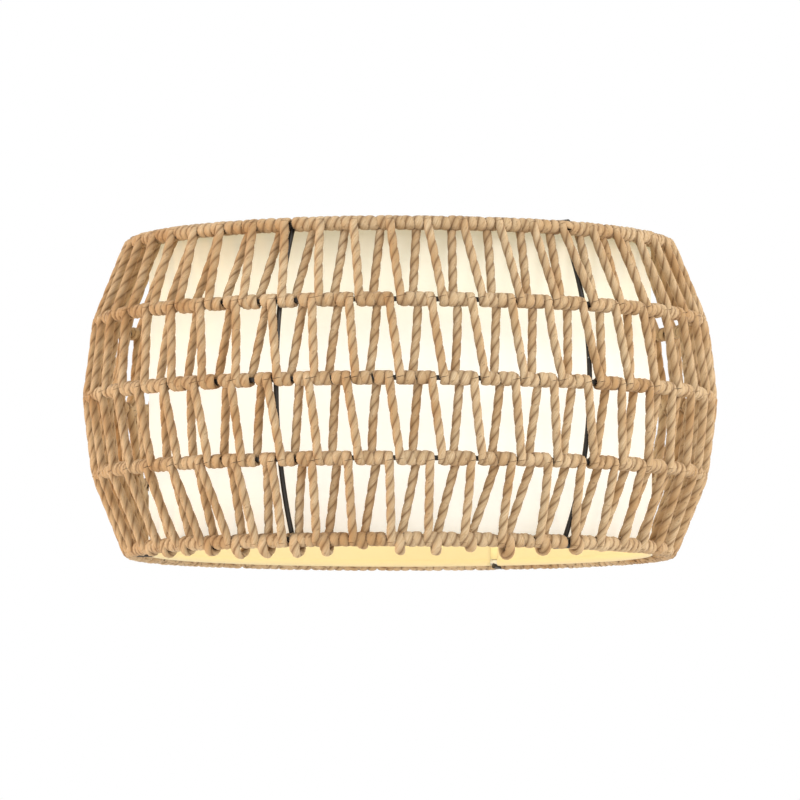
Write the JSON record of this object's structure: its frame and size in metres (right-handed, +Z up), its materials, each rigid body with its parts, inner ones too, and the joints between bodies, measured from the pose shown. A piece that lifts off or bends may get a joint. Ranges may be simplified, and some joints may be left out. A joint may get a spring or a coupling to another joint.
{
  "type": "lamp shade",
  "caption": "Bulged drum lamp shade: tan rope woven in zigzags over a bowed wire cage, with a white fabric drum liner inside and a three-arm spider with a fitter ring at the top.",
  "frame": {"origin": "on the axis of the fitter ring's bore, at the ring's top face, which seats against the lampholder", "axes": "+Z up along the bore's axis; the shade hangs below the origin; the rope's and the ribs' front faces -Y"},
  "size_m": [0.3204, 0.3204, 0.162],
  "materials": {
    "frame_metal": "black baked paint, satin",
    "rope": "natural tan two-ply twisted paper rope, matt, lightly mottled",
    "liner_cloth": "off-white plain-weave cloth laminated on a clear backing, lets light through",
    "hem_cloth": "off-white cloth turned and glued, matt",
    "liner_wire": "white baked paint"
  },
  "bodies": {
    "root": {"fitter_ring": "frame_metal", "spider_arm_1": "frame_metal", "spider_arm_2": "frame_metal", "spider_arm_3": "frame_metal", "top_ring": "frame_metal", "upper_hoop": "frame_metal", "middle_hoop": "frame_metal", "lower_hoop": "frame_metal", "bottom_ring": "frame_metal", "rib_1": "frame_metal", "rib_2": "frame_metal", "rib_3": "frame_metal", "rib_4": "frame_metal", "rib_5": "frame_metal", "rib_6": "frame_metal", "rope_row_1": "rope", "rope_row_2": "rope", "rope_row_3": "rope", "rope_row_4": "rope", "top_ring_wrap": "rope", "upper_hoop_wrap": "rope", "middle_hoop_wrap": "rope", "lower_hoop_wrap": "rope", "bottom_ring_wrap": "rope", "liner": "liner_cloth", "liner_top_ring": "liner_wire", "liner_bottom_ring": "liner_wire", "liner_top_hem": "hem_cloth", "liner_bottom_hem": "hem_cloth", "liner_seam": "hem_cloth", "bottom_spacers": "frame_metal"}
  },
  "joints": []
}
